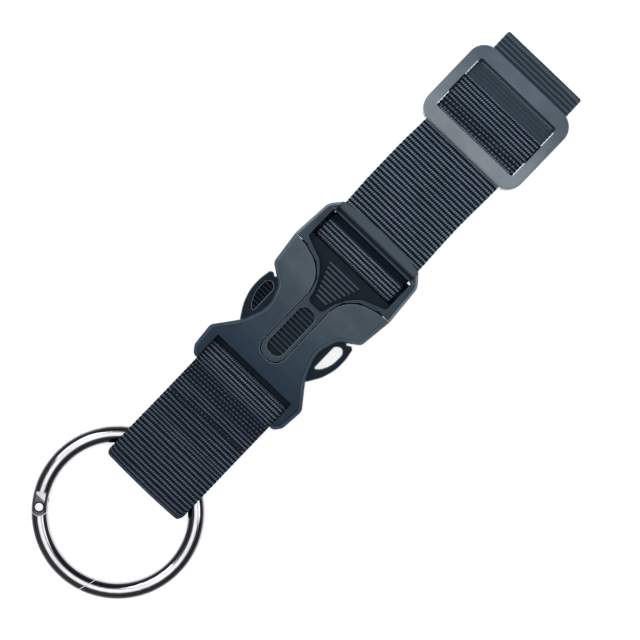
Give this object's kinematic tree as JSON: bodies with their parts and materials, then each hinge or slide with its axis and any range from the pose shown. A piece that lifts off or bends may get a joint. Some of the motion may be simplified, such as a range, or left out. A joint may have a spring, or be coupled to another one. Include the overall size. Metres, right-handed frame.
{
  "type": "luggage strap",
  "caption": "Short webbing luggage strap with a gated O-ring, a side-release buckle and a sliding adjuster on a closed end loop.",
  "frame": {"origin": "bottom centre of the whole strap, lying flat on its back", "axes": "+X along the webbing from the gate ring to the far fold, +Z out of the front face"},
  "size_m": [0.2122, 0.0524, 0.0095],
  "materials": {
    "ring_metal": "polished gunmetal",
    "pin_metal": "satin",
    "webbing": "ribbed weave",
    "thread": "matt thread",
    "buckle_plastic": "satin moulded",
    "slider_plastic": "satin moulded"
  },
  "bodies": {
    "socket": {"buckle_socket": "buckle_plastic"},
    "ring_strap": {"ring_strap": "webbing", "ring_strap_bartack": "thread", "ring_strap_stitches": "thread"},
    "ring_loop": {"ring_strap_loop": "webbing"},
    "ring": {"ring_body": "ring_metal", "gate_pivot_pin": "pin_metal", "gate_spring": "pin_metal"},
    "gate": {"ring_gate": "ring_metal"},
    "plunger": {"gate_plunger": "pin_metal"},
    "plug": {"buckle_plug": "buckle_plastic", "loop_strap": "webbing", "loop_seam_stitches": "thread"},
    "prong_left": {"plug_prong_left": "buckle_plastic"},
    "prong_right": {"plug_prong_right": "buckle_plastic"},
    "slider": {"strap_slider": "slider_plastic"}
  },
  "joints": [
    {"name": "ring_strap_swing", "type": "hinge", "parent": "socket", "child": "ring_strap", "pos_m": [-0.02585, 0, 0.00415], "axis": [0, 1, 0], "range_deg": [-75, 75]},
    {"name": "ring_loop_flex", "type": "hinge", "parent": "ring_strap", "child": "ring_loop", "pos_m": [-0.0478, 0, 0.00415], "axis": [0, 1, 0], "range_deg": [-60, 60]},
    {"name": "ring_turn", "type": "hinge", "parent": "ring_loop", "child": "ring", "pos_m": [-0.07995, 0, 0.00415], "axis": [0, 0, 1], "range_deg": [-60, 75]},
    {"name": "gate_open", "type": "hinge", "parent": "ring", "child": "gate", "pos_m": [-0.09496, 0.01821, 0.00415], "axis": [0, 0, 1], "range_deg": [0, 35], "stiffness_Nm_per_rad": 0.05, "springref_deg": -20.05},
    {"name": "plunger_slide", "type": "slide", "parent": "ring", "child": "plunger", "axis": [0.7716, 0.6361, 0], "range_m": [0, 0.0005], "deforming": ["gate_spring"]},
    {"name": "plug_release", "type": "slide", "parent": "socket", "child": "plug", "axis": [1, 0, 0], "range_m": [0, 0.036], "deforming": ["plug_prong_left", "plug_prong_right"]},
    {"name": "prong_left_press", "type": "hinge", "parent": "plug", "child": "prong_left", "pos_m": [0.01625, 0.015, 0.00475], "axis": [0, 0, 1], "range_deg": [0, 11], "stiffness_Nm_per_rad": 1, "springref_deg": -2.86},
    {"name": "prong_right_press", "type": "hinge", "parent": "plug", "child": "prong_right", "pos_m": [0.01625, -0.015, 0.00475], "axis": [0, 0, 1], "range_deg": [-11, 0], "stiffness_Nm_per_rad": 1, "springref_deg": 2.86},
    {"name": "slider_slide", "type": "slide", "parent": "plug", "child": "slider", "axis": [1, 0, 0], "range_m": [-0.033, 0.005]}
  ],
  "couplings": [
    {"joint": "prong_right_press", "follows": "prong_left_press", "ratio": -1},
    {"joint": "plunger_slide", "follows": "gate_open", "m_per_rad": 0.000818}
  ]
}
